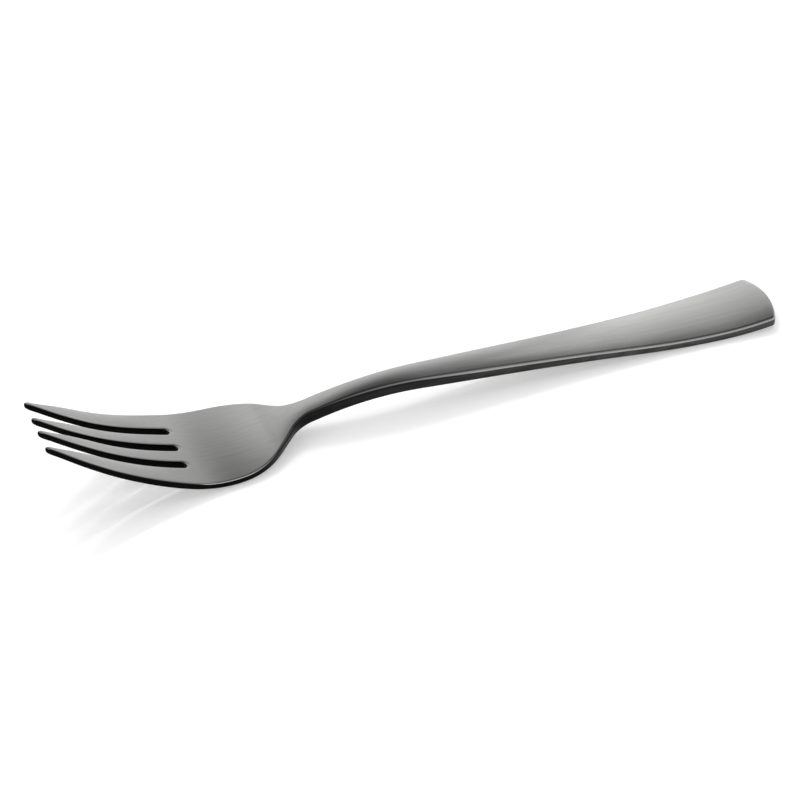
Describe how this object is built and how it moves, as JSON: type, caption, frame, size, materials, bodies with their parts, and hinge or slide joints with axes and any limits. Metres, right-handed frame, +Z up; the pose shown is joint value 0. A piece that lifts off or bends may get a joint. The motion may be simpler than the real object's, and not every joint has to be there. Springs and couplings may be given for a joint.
{
  "type": "dinner fork",
  "caption": "Satin steel dinner fork with slim tapered tines, a nearly flat palm with round shoulders, a narrow arched neck and a long plain handle that widens to a gently bowed end.",
  "frame": {"origin": "on the table under the middle of the fork's length and width, with the belly of the palm and the heel of the handle touching Z = 0", "axes": "+X from the tine tips to the end of the handle, +Y to the right of a person who holds the handle and looks along the tines, +Z up, out of the face"},
  "size_m": [0.2, 0.0288, 0.0226],
  "materials": {
    "steel": "satin, brushed along the fork"
  },
  "bodies": {
    "root": {"left_outer_tine": "steel", "left_inner_tine": "steel", "right_inner_tine": "steel", "right_outer_tine": "steel", "palm": "steel", "neck": "steel", "handle": "steel"}
  },
  "joints": []
}
